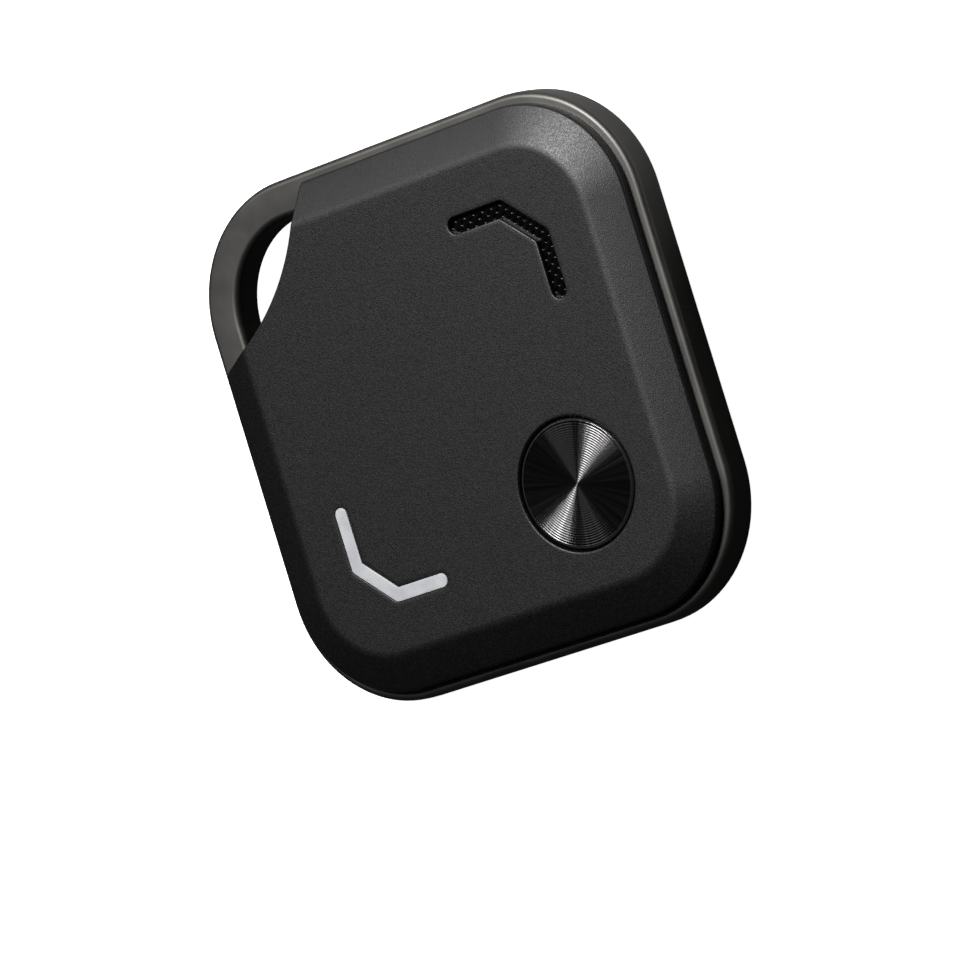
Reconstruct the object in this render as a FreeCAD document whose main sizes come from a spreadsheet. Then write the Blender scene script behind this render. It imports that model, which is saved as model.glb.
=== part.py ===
import FreeCAD, Part
import math
import os
import re

import Sketcher
from FreeCAD import Placement, Rotation, Vector

# A square bluetooth tracker tag with a key loop at one corner. It lies on its back:
# +Z is out of the front face, +Y is towards the top edge and the loop is at (-X, +Y).
# The origin is at the middle of the back face. Millimetres and degrees.

doc = FreeCAD.newDocument("tracker_tag")

# ---------------------------------------------------------------- driving sizes
SIZES = {
    # whole tag
    "overall_side": 42.0,
    "overall_thickness": 6.8,
    "corner_radius": 10.0,
    # metal frame
    "frame_back_height": 1.65,
    "frame_thickness": 3.1,
    "frame_width": 3.0,
    "frame_outer_round": 0.45,
    "frame_inner_round": 0.45,
    # covers
    "front_inset": 0.9,
    "front_bevel_width": 3.0,
    "front_bevel_drop": 1.2,
    "back_inset": 1.2,
    "back_bevel_width": 3.0,
    "back_bevel_drop": 1.4,
    "front_wall": 0.9,
    "back_wall": 1.0,
    "lip_wall": 0.8,
    "lip_clearance": 0.08,
    "back_lip_height": 1.2,
    "cover_seal_thickness": 0.3,
    # key loop: one round cut through the covers, centred beyond the frame's two sides
    "loop_cut_beyond": 4.83,
    "loop_cut_radius": 18.75,
    "loop_wall": 0.9,
    # button: its middle is placed from the plateau's right and bottom edges
    "button_from_right": 8.1,
    "button_from_bottom": 8.2,
    "button_radius": 5.0,
    "button_gap": 0.19,
    "button_recess": 0.12,
    "button_disc_thickness": 0.7,
    "button_travel": 0.25,
    "button_rim_chamfer": 0.12,
    "button_hole_chamfer": 0.2,
    "plunger_flange_width": 0.75,
    "plunger_flange_thickness": 0.35,
    "plunger_neck_height": 0.38,
    "plunger_stem_radius": 0.8,
    "button_seal_width": 0.45,
    "button_seal_thickness": 0.25,
    # bracket-shaped openings: the light guide's and, mirrored, the sound slot's
    "bracket_margin": 4.45,
    "bracket_corner_cut": 2.95,
    "bracket_leg": 4.3,
    "guide_width": 1.1,
    "guide_clearance": 0.03,
    "guide_flange_margin": 0.55,
    "guide_flange_thickness": 0.4,
    "guide_leg_radius": 0.8,
    "slot_width": 1.26,
    "mesh_margin": 0.6,
    "mesh_recess": 0.45,
    "mesh_thickness": 0.12,
    # coin cell and what holds it
    "cell_radius": 10.0,
    "cell_height": 3.2,
    "cell_cap_inset": 1.2,
    "cell_cap_step": 0.3,
    "cell_edge_chamfer": 0.35,
    "cell_shift": 2.2,
    "cell_clearance": 0.2,
    "pad_radius": 7.0,
    "pad_thickness": 0.25,
    # battery door: its rim stands round the cell, and its flange round the rim
    "door_rim_clearance": 0.35,
    "door_rim_wall": 0.75,
    "door_flange_width": 1.5,
    "door_gap": 0.15,
    "door_flange_thickness": 0.5,
    "door_thickness": 1.05,
    "door_tab_reach": 1.2,
    "door_tab_thickness": 0.5,
    "door_tab_angle": 24.0,
    "door_tab_count": 3,
    "door_first_tab_angle": 75.0,
    "door_turn": 28.0,
    "door_notch_margin": 1.5,
    "door_stop_angle": 5.0,
    "door_stop_clearance": 0.5,
    "coin_slot_length": 12.0,
    "coin_slot_width": 1.6,
    "coin_slot_depth": 0.5,
    "door_seal_section_radius": 0.36,
    # chassis
    "chassis_ring_wall": 0.95,
    "chassis_ring_height": 1.55,
    "chassis_plate_thickness": 0.35,
    "chassis_skirt_wall": 0.7,
    "chassis_skirt_clearance": 0.4,
    "chassis_ear_radius": 1.25,
    "chassis_wall_clearance": 0.15,
    "chassis_window": 3.6,
    # circuit board and fixings
    "board_bottom_height": 2.8,
    "board_thickness": 0.8,
    "board_clearance": 0.2,
    "board_cell_clearance": 0.2,
    "boss_radius": 1.1,
    "screw_hole_radius": 0.45,
    "screw_clearance": 0.15,
    "screw_length": 2.6,
    "screw_head_radius": 0.95,
    "screw_head_height": 0.5,
    "screw_recess_radius": 0.35,
    "screw_recess_depth": 0.25,
    "boss_inset": 2.52,
    "boss_guide_gap": 0.45,
    "boss_corner_inset": 2.82,
    "boss_right_y": -1.2,
    "boss_bottom_x": 0.8,
    "boss_left_y": -8.0,
    # dome switch
    "switch_side": 4.2,
    "switch_base_height": 0.65,
    "switch_floor": 0.15,
    "switch_well_radius": 1.6,
    "switch_cover_thickness": 0.15,
    "switch_cover_hole_radius": 1.1,
    "switch_dome_radius": 1.5,
    "switch_dome_rise": 0.22,
    "switch_dome_sheet": 0.06,
    "stem_gap": 0.3,
    # sounder: its middle is placed from the walls of the space inside
    "sounder_inset_x": 8.22,
    "sounder_inset_y": 8.32,
    "sounder_radius": 6.5,
    "sounder_ring_wall": 0.55,
    "sounder_ring_height": 0.55,
    "sounder_disc_thickness": 0.2,
    "ceramic_radius": 4.5,
    "ceramic_thickness": 0.15,
    "pin_radius": 0.4,
    "pin_base_radius": 0.7,
    "pin_base_height": 0.5,
    "outer_pin_reach": 5.3,
    # contacts
    "contact_sheet": 0.2,
    "contact_width": 3.0,
    "contact_foot": 2.4,
    "positive_contact_drop": 0.7,
    "contact_touch_gap": 0.03,
    # small electronics
    "led_length": 1.6,
    "led_width": 0.8,
    "led_height": 0.5,
    "led_gap": 0.1,
    "radio_chip_side": 6.0,
    "radio_chip_inset_x": 5.72,
    "radio_chip_inset_y": 5.82,
    "radio_chip_height": 0.85,
    "crystal_length": 2.0,
    "crystal_width": 1.6,
    "crystal_height": 0.5,
    "antenna_length": 3.2,
    "antenna_width": 1.6,
    "antenna_height": 1.2,
    "coil_length": 2.5,
    "coil_width": 2.0,
    "coil_height": 1.2,
    "coil_overhang": 0.25,
    "passive_length": 1.0,
    "passive_width": 0.5,
    "passive_height": 0.5,
    "passive_pitch": 1.1,
}

# ------------------------------------------- places worked out from those sizes
WORKED_OUT = {
    "frame_half": "overall_side / 2",
    "frame_front": "frame_back_height + frame_thickness",
    "loop_half": "frame_half - frame_width",
    "loop_corner": "corner_radius - frame_width",
    "front_half": "frame_half - front_inset",
    "front_corner": "corner_radius - front_inset",
    "back_half": "frame_half - back_inset",
    "back_corner": "corner_radius - back_inset",
    "lip_half": "loop_half - lip_clearance",
    "lip_corner": "loop_corner - lip_clearance",
    "cavity_half": "lip_half - lip_wall",
    "cavity_corner": "lip_corner - lip_wall",
    "plateau_half": "front_half - front_bevel_width",
    "ceiling": "overall_thickness - front_wall",
    "back_lip_top": "frame_back_height + back_lip_height",
    "front_lip_bottom": "back_lip_top + cover_seal_thickness",
    "loop_cut_offset": "frame_half + loop_cut_beyond",
    "loop_wall_radius": "loop_cut_radius + loop_wall",
    "bracket_offset": "plateau_half - bracket_margin",
    "button_across": "plateau_half - button_from_right",
    "button_down": "plateau_half - button_from_bottom",
    "button_hole_radius": "button_radius + button_gap",
    "disc_top": "overall_thickness - button_recess",
    "disc_bottom": "disc_top - button_disc_thickness",
    "flange_top": "disc_bottom - plunger_neck_height",
    "flange_bottom": "flange_top - plunger_flange_thickness",
    "flange_radius": "button_radius + plunger_flange_width",
    "board_top": "board_bottom_height + board_thickness",
    "board_half": "cavity_half - board_clearance",
    "board_corner": "cavity_corner - board_clearance",
    "board_hole_radius": "chassis_outer_radius + board_cell_clearance",
    "boss_right_x": "cavity_half - boss_inset",
    "boss_bottom_y": "boss_inset - cavity_half",
    "guide_flange_width": "guide_width + 2 * guide_flange_margin",
    "boss_left_x": "-(bracket_offset + guide_flange_width / 2 + boss_guide_gap + boss_radius)",
    "boss_corner": "cavity_half - boss_corner_inset",
    "cell_cap_radius": "cell_radius - cell_cap_inset",
    "cell_bottom": "door_thickness + pad_thickness",
    "cell_top": "cell_bottom + cell_height",
    "chassis_inner_radius": "cell_radius + cell_clearance",
    "chassis_outer_radius": "chassis_inner_radius + chassis_ring_wall",
    "chassis_plate_bottom": "board_bottom_height - chassis_plate_thickness",
    "door_rim_inner_radius": "cell_radius + door_rim_clearance",
    "door_neck_radius": "door_rim_inner_radius + door_rim_wall",
    "door_radius": "door_neck_radius + door_flange_width",
    "tab_radius": "door_neck_radius + door_tab_reach",
    "tab_top": "door_thickness + door_tab_thickness",
    "neck_hole_radius": "door_neck_radius + door_gap",
    "skirt_inner_radius": "tab_radius + chassis_skirt_clearance",
    "skirt_outer_radius": "skirt_inner_radius + chassis_skirt_wall",
    "switch_well_floor": "board_top + switch_floor",
    "switch_base_top": "board_top + switch_base_height",
    "stem_bottom": "switch_well_floor + switch_dome_rise + stem_gap",
    "sounder_across": "cavity_half - sounder_inset_x",
    "sounder_up": "cavity_half - sounder_inset_y",
    "sounder_top": "ceiling - sounder_ring_height",
    "sounder_bottom": "sounder_top - sounder_disc_thickness",
    "ceramic_bottom": "sounder_bottom - ceramic_thickness",
    "mesh_top": "ceiling + mesh_recess",
    "mesh_bottom": "mesh_top - mesh_thickness",
    "guide_flange_bottom": "ceiling - guide_flange_thickness",
    "led_top": "board_top + led_height",
    "radio_chip_across": "cavity_half - radio_chip_inset_x",
    "radio_chip_down": "cavity_half - radio_chip_inset_y",
}


def sized(text):
    """Spells a formula of plain names out as one that reads the cells of the sheet."""
    def spell(match):
        word = match.group(0)
        if word in WORKED_OUT:
            return "(" + sized(WORKED_OUT[word]) + ")"
        return "sizes." + word if word in SIZES else word
    return re.sub(r"[a-z_]+", spell, str(text))


def fill_sheet():
    """Puts each driving size in a cell of its own, with its name as the alias."""
    sheet = doc.addObject("Spreadsheet::Sheet", "sizes")
    for row, (name, number) in enumerate(SIZES.items(), start=1):
        sheet.set("A%d" % row, name)
        sheet.set("B%d" % row, str(number))
        sheet.setAlias("B%d" % row, name)
    doc.recompute()
    return sheet


sizes = fill_sheet()


def number(text):
    """The present value of a formula."""
    return float(sizes.evalExpression(sized(text)))


# ------------------------------------------------------------- building helpers
def bind(thing, **formulas):
    """Binds properties to formulas. A double underscore in a name stands for a dot."""
    for name, text in formulas.items():
        thing.setExpression(name.replace("__", "."), sized(text))
    return thing


def moved(thing, x=0, y=0, z=0, turn=0):
    """Places a piece by formulas, turned about the vertical."""
    thing.Placement = Placement(Vector(0, 0, 0), Rotation(Vector(0, 0, 1), 1))
    return bind(thing, Placement__Base__x=x, Placement__Base__y=y, Placement__Base__z=z,
                Placement__Rotation__Angle=turn)


def cylinder(name, radius, low, high, x=0, y=0):
    piece = moved(doc.addObject("Part::Cylinder", name), x, y, low)
    return bind(piece, Radius=radius, Height="(%s) - (%s)" % (high, low))


def box(name, length, width, low, high, x=0, y=0, turn=0):
    """A box whose middle stands at x, y, turned about its own middle."""
    piece = doc.addObject("Part::Box", name)
    bind(piece, Length=length, Width=width, Height="(%s) - (%s)" % (high, low))
    words = {"l": length, "w": width, "a": turn, "x": x, "y": y}
    corner_x = "({x}) - cos(({a}) * 1deg) * ({l}) / 2 + sin(({a}) * 1deg) * ({w}) / 2"
    corner_y = "({y}) - sin(({a}) * 1deg) * ({l}) / 2 - cos(({a}) * 1deg) * ({w}) / 2"
    return moved(piece, corner_x.format(**words), corner_y.format(**words), low, turn)


def cut(name, base, *tools):
    """Cuts the tools out of the base, one after another. The last cut has the name."""
    for index, tool in enumerate(tools):
        last = index == len(tools) - 1
        step = doc.addObject("Part::Cut", name if last else name + "_cut")
        step.Base = base
        step.Tool = tool
        step.Refine = True
        base = step
    return base


def fuse(name, *pieces):
    """Joins pieces that overlap or meet into one solid."""
    whole = doc.addObject("Part::MultiFuse", name)
    whole.Shapes = list(pieces)
    whole.Refine = True
    return whole


def shared(name, first, second):
    """The space that two pieces share."""
    whole = doc.addObject("Part::Common", name)
    whole.Base = first
    whole.Tool = second
    whole.Refine = True
    return whole


def group(name, *pieces):
    """Keeps separate solids of one kind together as one node."""
    whole = doc.addObject("Part::Compound", name)
    whole.Links = list(pieces)
    return whole


def ring(name, inner, outer, low, high, x=0, y=0):
    return cut(name, cylinder(name + "_outer", outer, low, high, x, y),
               cylinder(name + "_inner", inner, low, high, x, y))


def sector(name, inner, outer, low, high, start, sweep, x=0, y=0):
    """Part of a flat ring: it starts at one angle and sweeps on from there."""
    whole = cylinder(name + "_outer", outer, low, high, x, y)
    bind(whole, Angle=sweep, Placement__Rotation__Angle=start)
    return cut(name, whole, cylinder(name + "_inner", inner, low, high, x, y))


def new_sketch(body, name, plane, height=0):
    """A sketch on one of the body's own origin planes, lifted to a height."""
    sketch = body.newObject("Sketcher::SketchObject", name)
    support = next(item for item in body.Origin.OriginFeatures if item.Role == plane)
    sketch.AttachmentSupport = [(support, "")]
    sketch.MapMode = "FlatFace"
    return bind(sketch, AttachmentOffset__Base__z=height)


def constrain(sketch, kind, *where_and_formula):
    """Adds a driving dimension and binds it to its formula."""
    *where, text = where_and_formula
    index = sketch.addConstraint(Sketcher.Constraint(kind, *where, number(text)))
    sketch.setExpression("Constraints[%d]" % index, sized(text))


def draw_rounded_square(sketch, half, corner):
    """Four sides and four corner arcs, all tangent, centred on the origin."""
    reach = number(half)
    radius = number(corner)
    straight = reach - radius
    for quarter in range(4):
        turn = Rotation(Vector(0, 0, 1), 90 * quarter)
        start = turn.multVec(Vector(-straight, -reach, 0))
        end = turn.multVec(Vector(straight, -reach, 0))
        centre = turn.multVec(Vector(straight, -straight, 0))
        first = math.radians(270 + 90 * quarter)
        sketch.addGeometry(Part.LineSegment(start, end))
        circle = Part.Circle(centre, Vector(0, 0, 1), radius)
        sketch.addGeometry(Part.ArcOfCircle(circle, first, first + math.pi / 2))
    for item in range(8):
        sketch.addConstraint(Sketcher.Constraint("Tangent", item, 2, (item + 1) % 8, 1))
    for arc in (3, 5, 7):
        sketch.addConstraint(Sketcher.Constraint("Equal", 1, arc))
    for side, kind in ((0, "Horizontal"), (2, "Vertical"), (4, "Horizontal"), (6, "Vertical")):
        sketch.addConstraint(Sketcher.Constraint(kind, side))
    constrain(sketch, "DistanceY", 0, 1, -1, 1, half)
    constrain(sketch, "DistanceX", -1, 1, 2, 1, half)
    constrain(sketch, "DistanceY", -1, 1, 4, 1, half)
    constrain(sketch, "DistanceX", 6, 1, -1, 1, half)
    constrain(sketch, "Radius", 1, corner)


def draw_outline(sketch, points):
    """A closed outline of straight sides, each corner placed by two formulas."""
    corners = [Vector(number(across), number(up), 0) for across, up in points]
    count = len(corners)
    for index in range(count):
        sketch.addGeometry(Part.LineSegment(corners[index], corners[(index + 1) % count]))
    for index in range(count):
        sketch.addConstraint(Sketcher.Constraint("Coincident", index, 2, (index + 1) % count, 1))
    for index, (across, up) in enumerate(points):
        constrain(sketch, "DistanceX", -1, 1, index, 1, across)
        constrain(sketch, "DistanceY", -1, 1, index, 1, up)


def rounded_block(name, half, corner, low, high):
    """A body: a square plate with rounded corners between two heights."""
    body = doc.addObject("PartDesign::Body", name)
    sketch = new_sketch(body, name + "_outline", "XY_Plane", low)
    draw_rounded_square(sketch, half, corner)
    pad = body.newObject("PartDesign::Pad", name + "_pad")
    pad.Profile = sketch
    bind(pad, Length="(%s) - (%s)" % (high, low))
    doc.recompute()
    return body


def turned(name, points, x=0, y=0):
    """A body: a profile of (radius, height) corners turned about a vertical axis."""
    body = doc.addObject("PartDesign::Body", name)
    sketch = new_sketch(body, name + "_profile", "XZ_Plane")
    draw_outline(sketch, points)
    whole = body.newObject("PartDesign::Revolution", name + "_turned")
    whole.Profile = sketch
    whole.ReferenceAxis = (sketch, ["V_Axis"])
    whole.Angle = 360
    moved(body, x, y)
    doc.recompute()
    return body


def edges_at(feature, height):
    """Names of the edges that lie flat at one height."""
    level = number(height)
    names = []
    for index, edge in enumerate(feature.Shape.Edges, start=1):
        span = edge.BoundBox
        if abs(span.ZMin - level) < 1e-6 and abs(span.ZMax - level) < 1e-6:
            names.append("Edge%d" % index)
    return names


def bevel(body, height, drop, width):
    """Bevels the edges of a body that lie at one height, by its drop and its width."""
    base = body.Tip
    chamfer = body.newObject("PartDesign::Chamfer", body.Name + "_bevel")
    chamfer.Base = (base, edges_at(base, height))
    chamfer.ChamferType = "Two distances"
    bind(chamfer, Size=drop, Size2=width)
    doc.recompute()


# ------------------------------------------------------- shapes used many times
CELL_X = "-cell_shift"
CELL_Y = "cell_shift"
BUTTON_X = "button_across"
BUTTON_Y = "-button_down"
BOSSES = (("boss_right_x", "boss_right_y"), ("boss_bottom_x", "boss_bottom_y"),
          ("boss_left_x", "boss_left_y"), ("boss_corner", "boss_corner"))


def loop_cylinder(name, radius, low, high):
    """The round cut at the key loop, or the wall that follows it."""
    return cylinder(name, radius, low, high, "-loop_cut_offset", "loop_cut_offset")


def cavity(name, low, high, half="cavity_half", corner="cavity_corner", wall="loop_wall_radius"):
    """The space inside the covers: a rounded square less the loop's round wall."""
    return cut(name, rounded_block(name + "_block", half, corner, low, high),
               loop_cylinder(name + "_loop", wall, low, high))


def lip(name, low, high):
    """A rim that stands inside the frame and follows the loop's round wall."""
    outside = rounded_block(name + "_block", "lip_half", "lip_corner", low, high)
    return cut(name, outside, loop_cylinder(name + "_loop", "loop_cut_radius", low, high),
               cavity(name + "_inside", low, high))


def bracket(name, width, low, high, side):
    """Three round-ended bars round a corner: side 1 is top right, side -1 bottom left."""
    far = "(%d) * bracket_offset" % side
    near = "(%d) * (bracket_offset - bracket_corner_cut)" % side
    end = "(%d) * (bracket_offset - bracket_corner_cut - bracket_leg)" % side
    corners = [(end, far), (near, far), (far, near), (far, end)]
    pieces = [cylinder("%s_end%d" % (name, index), "(%s) / 2" % width, low, high, x, y)
              for index, (x, y) in enumerate(corners)]
    lengths = ["bracket_leg", "sqrt(2) * bracket_corner_cut", "bracket_leg"]
    for index, (length, turn) in enumerate(zip(lengths, (0, -45, 90))):
        (x1, y1), (x2, y2) = corners[index], corners[index + 1]
        middle_x = "(%s + %s) / 2" % (x1, x2)
        middle_y = "(%s + %s) / 2" % (y1, y2)
        bar = "%s_bar%d" % (name, index)
        pieces.append(box(bar, length, width, low, high, middle_x, middle_y, turn))
    return fuse(name, *pieces)


# --------------------------------------------------------------------- sub-parts
def make_frame():
    """The metal ring, with softly rounded edges outside and inside."""
    body = rounded_block("frame", "frame_half", "corner_radius", "frame_back_height", "frame_front")
    opening = new_sketch(body, "frame_opening", "XY_Plane", "frame_back_height")
    draw_rounded_square(opening, "loop_half", "loop_corner")
    pocket = body.newObject("PartDesign::Pocket", "frame_pocket")
    pocket.Profile = opening
    pocket.Reversed = True
    bind(pocket, Length="frame_thickness")
    doc.recompute()
    for name, radius, outside in (("outer", "frame_outer_round", True),
                                  ("inner", "frame_inner_round", False)):
        base = body.Tip
        inside_reach = number("loop_half") + 1e-3
        chosen = [edge for height in ("frame_back_height", "frame_front")
                  for edge in edges_at(base, height)
                  if (reach_of(base.Shape.getElement(edge)) > inside_reach) == outside]
        fillet = body.newObject("PartDesign::Fillet", "frame_%s_round" % name)
        fillet.Base = (base, chosen)
        bind(fillet, Radius=radius)
        doc.recompute()
    return body


def reach_of(edge):
    """How far an edge reaches from the middle, along X or Y."""
    span = edge.BoundBox
    return max(abs(span.XMin), abs(span.XMax), abs(span.YMin), abs(span.YMax))


def make_front_cover():
    """The front shell: bevelled plateau, lip, bosses, and openings for what shows."""
    face = rounded_block("front_face", "front_half", "front_corner", "frame_front",
                         "overall_thickness")
    bevel(face, "overall_thickness", "front_bevel_drop", "front_bevel_width")
    face_cut = loop_cylinder("front_face_loop", "loop_cut_radius", "frame_front",
                             "overall_thickness")
    rim = cut("front_rim", face, face_cut, cavity("front_cavity", "frame_front", "ceiling"))
    bosses = [cylinder("front_boss%d" % index, "boss_radius", "board_top", "ceiling", x, y)
              for index, (x, y) in enumerate(BOSSES)]
    shell = fuse("front_shell", rim, lip("front_lip", "front_lip_bottom", "frame_front"), *bosses)
    screw_top = "board_top + screw_length - board_thickness - chassis_plate_thickness"
    pilots = [cylinder("front_pilot%d" % index, "screw_hole_radius", "board_top", screw_top, x, y)
              for index, (x, y) in enumerate(BOSSES)]
    button_hole = turned("front_button_hole", [
        (0, "ceiling"),
        ("button_hole_radius", "ceiling"),
        ("button_hole_radius", "overall_thickness - button_hole_chamfer"),
        ("button_hole_radius + button_hole_chamfer", "overall_thickness"),
        (0, "overall_thickness")], BUTTON_X, BUTTON_Y)
    guide_hole = bracket("front_guide_hole", "guide_width + 2 * guide_clearance", "ceiling",
                         "overall_thickness", -1)
    slot = bracket("front_slot", "slot_width", "ceiling", "overall_thickness", 1)
    mesh_seat = bracket("front_mesh_seat", "slot_width + 2 * mesh_margin", "ceiling", "mesh_top", 1)
    return cut("front_cover", shell, button_hole, guide_hole, slot, mesh_seat, *pilots)


def make_back_cover():
    """The back shell: bevelled back, lip, battery opening with its notches and stops."""
    face = rounded_block("back_face", "back_half", "back_corner", "0", "frame_back_height")
    bevel(face, "0", "back_bevel_drop", "back_bevel_width")
    face_cut = loop_cylinder("back_face_loop", "loop_cut_radius", "0", "frame_back_height")
    rim = cut("back_rim", face, face_cut, cavity("back_cavity", "back_wall", "frame_back_height"))
    shell = fuse("back_shell", rim, lip("back_lip", "frame_back_height", "back_lip_top"))
    seat = cylinder("back_door_seat", "door_radius + door_gap", "0",
                    "door_flange_thickness + door_gap / 3", CELL_X, CELL_Y)
    neck_hole = cylinder("back_neck_hole", "neck_hole_radius", "0", "back_wall", CELL_X, CELL_Y)
    notches = []
    stops = []
    for index in range(int(number("door_tab_count"))):
        middle = "door_first_tab_angle + %d * 360 / door_tab_count" % index
        notches.append(sector(
            "back_notch%d" % index, "door_neck_radius - door_gap", "tab_radius + door_gap", "0",
            "back_wall", middle + " - door_turn - door_tab_angle / 2 - door_notch_margin",
            "door_tab_angle + 2 * door_notch_margin", CELL_X, CELL_Y))
        stops.append(sector(
            "back_stop%d" % index, "neck_hole_radius", "tab_radius", "back_wall", "tab_top",
            middle + " + door_tab_angle / 2 + door_stop_clearance", "door_stop_angle",
            CELL_X, CELL_Y))
    return fuse("back_cover", cut("back_open", shell, seat, neck_hole, *notches), *stops)


def make_battery_door():
    """The round twist-off door: flange, neck, three tabs and a coin slot."""
    plate = turned("door_plate", [
        (0, "0"),
        ("door_radius - door_gap", "0"),
        ("door_radius", "door_gap"),
        ("door_radius", "door_flange_thickness"),
        ("door_neck_radius", "door_flange_thickness"),
        ("door_neck_radius", "tab_top"),
        ("door_rim_inner_radius", "tab_top"),
        ("door_rim_inner_radius", "door_thickness"),
        (0, "door_thickness")], CELL_X, CELL_Y)
    tabs = [sector("door_tab%d" % index, "door_neck_radius - door_gap", "tab_radius",
                   "door_thickness", "tab_top",
                   "door_first_tab_angle - door_tab_angle / 2 + %d * 360 / door_tab_count" % index,
                   "door_tab_angle", CELL_X, CELL_Y)
            for index in range(int(number("door_tab_count")))]
    ends = [cylinder("door_slot_end%d" % index, "coin_slot_width / 2", "0", "coin_slot_depth",
                     CELL_X + " + (%d) * (coin_slot_length - coin_slot_width) / 2" % side, CELL_Y)
            for index, side in enumerate((-1, 1))]
    groove = box("door_slot_middle", "coin_slot_length - coin_slot_width", "coin_slot_width", "0",
                 "coin_slot_depth", CELL_X, CELL_Y)
    return cut("battery_door", fuse("door_blank", plate, *tabs),
               fuse("door_slot", groove, *ends))


def make_door_seal():
    """The O-ring that lies on the door's rim."""
    seal = moved(doc.addObject("Part::Torus", "door_seal"), CELL_X, CELL_Y,
                 "(tab_top + chassis_plate_bottom) / 2")
    middle = "(door_rim_inner_radius + door_neck_radius) / 2"
    return bind(seal, Radius1=middle, Radius2="door_seal_section_radius")


def make_coin_cell():
    """The cell: its can with a chamfered edge, and the smaller cap towards the front."""
    return turned("coin_cell", [
        (0, "cell_bottom"),
        ("cell_radius - cell_edge_chamfer", "cell_bottom"),
        ("cell_radius", "cell_bottom + cell_edge_chamfer"),
        ("cell_radius", "cell_top - cell_cap_step - cell_edge_chamfer"),
        ("cell_radius - cell_edge_chamfer", "cell_top - cell_cap_step"),
        ("cell_cap_radius", "cell_top - cell_cap_step"),
        ("cell_cap_radius - cell_cap_step", "cell_top"),
        (0, "cell_top")], CELL_X, CELL_Y)


def make_chassis():
    """The cradle: a ring round the cell, a plate under the board, a skirt and four ears.

    It is trimmed to the space inside the covers, a clearance short of their walls.
    """
    cradle = ring("chassis_ring", "chassis_inner_radius", "chassis_outer_radius",
                  "chassis_plate_bottom", "chassis_plate_bottom + chassis_ring_height",
                  CELL_X, CELL_Y)
    plate = ring("chassis_plate", "chassis_inner_radius", "skirt_outer_radius",
                 "chassis_plate_bottom", "board_bottom_height", CELL_X, CELL_Y)
    skirt = ring("chassis_skirt", "skirt_inner_radius", "skirt_outer_radius", "back_wall",
                 "chassis_plate_bottom", CELL_X, CELL_Y)
    ears = []
    for index, (x, y) in enumerate(BOSSES):
        away_x = "((%s) - (%s))" % (x, CELL_X)
        away_y = "((%s) - (%s))" % (y, CELL_Y)
        away = "sqrt(%s^2 + %s^2)" % (away_x, away_y)
        arm = "(%s - skirt_inner_radius)" % away
        along = "(1 - %s / (2 * %s))" % (arm, away)
        ears.append(cylinder("chassis_ear%d" % index, "chassis_ear_radius",
                             "chassis_plate_bottom", "board_bottom_height", x, y))
        ears.append(box("chassis_arm%d" % index, arm, "2 * chassis_ear_radius",
                        "chassis_plate_bottom", "board_bottom_height",
                        "%s + %s * %s" % (CELL_X, away_x, along),
                        "%s + %s * %s" % (CELL_Y, away_y, along),
                        "atan2(%s; %s) / 1deg" % (away_y, away_x)))
    holes = [cylinder("chassis_hole%d" % index, "screw_hole_radius + screw_clearance",
                      "chassis_plate_bottom", "board_bottom_height", x, y)
             for index, (x, y) in enumerate(BOSSES)]
    window = box("chassis_window_cut", "chassis_window", "2 * chassis_window",
                 "board_bottom_height", "chassis_plate_bottom + chassis_ring_height",
                 CELL_X, CELL_Y + " - chassis_outer_radius")
    room = cavity("chassis_room", "back_wall", "chassis_plate_bottom + chassis_ring_height",
                  "cavity_half - chassis_wall_clearance", "cavity_corner - chassis_wall_clearance",
                  "loop_wall_radius + chassis_wall_clearance")
    blank = fuse("chassis_blank", cradle, plate, skirt, *ears)
    return cut("chassis", shared("chassis_trimmed", blank, room), window, *holes)


def make_circuit_board():
    """The board fills the space inside the covers, less the hole round the cell."""
    sheet = cavity("board_sheet", "board_bottom_height", "board_top", "board_half",
                   "board_corner", "loop_wall_radius + board_clearance")
    cell_hole = cylinder("board_cell_hole", "board_hole_radius", "board_bottom_height",
                         "board_top", CELL_X, CELL_Y)
    holes = [cylinder("board_hole%d" % index, "screw_hole_radius + screw_clearance",
                      "board_bottom_height", "board_top", x, y)
             for index, (x, y) in enumerate(BOSSES)]
    return cut("circuit_board", sheet, cell_hole, *holes)


def make_chassis_screws():
    """Four self-tapping screws from the chassis up into the front cover's bosses."""
    screws = [turned("screw%d" % index, [
        (0, "chassis_plate_bottom - screw_head_height + screw_recess_depth"),
        ("screw_recess_radius", "chassis_plate_bottom - screw_head_height + screw_recess_depth"),
        ("screw_recess_radius", "chassis_plate_bottom - screw_head_height"),
        ("screw_head_radius", "chassis_plate_bottom - screw_head_height"),
        ("screw_head_radius", "chassis_plate_bottom"),
        ("screw_hole_radius", "chassis_plate_bottom"),
        ("screw_hole_radius", "chassis_plate_bottom + screw_length - screw_hole_radius"),
        (0, "chassis_plate_bottom + screw_length")], x, y)
        for index, (x, y) in enumerate(BOSSES)]
    return group("chassis_screws", *screws)


def make_button_disc():
    """The turned metal disc, with a thin bright chamfer round its face."""
    return turned("button_disc", [
        (0, "disc_bottom"),
        ("button_radius", "disc_bottom"),
        ("button_radius", "disc_top - button_rim_chamfer"),
        ("button_radius - button_rim_chamfer", "disc_top"),
        (0, "disc_top")], BUTTON_X, BUTTON_Y)


def make_button_plunger():
    """The moulded carrier: neck under the disc, flange behind the cover, and stem."""
    return turned("button_plunger", [
        (0, "stem_bottom"),
        ("plunger_stem_radius", "stem_bottom"),
        ("plunger_stem_radius", "flange_bottom"),
        ("flange_radius", "flange_bottom"),
        ("flange_radius", "flange_top"),
        ("button_radius", "flange_top"),
        ("button_radius", "disc_bottom"),
        (0, "disc_bottom")], BUTTON_X, BUTTON_Y)


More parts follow.
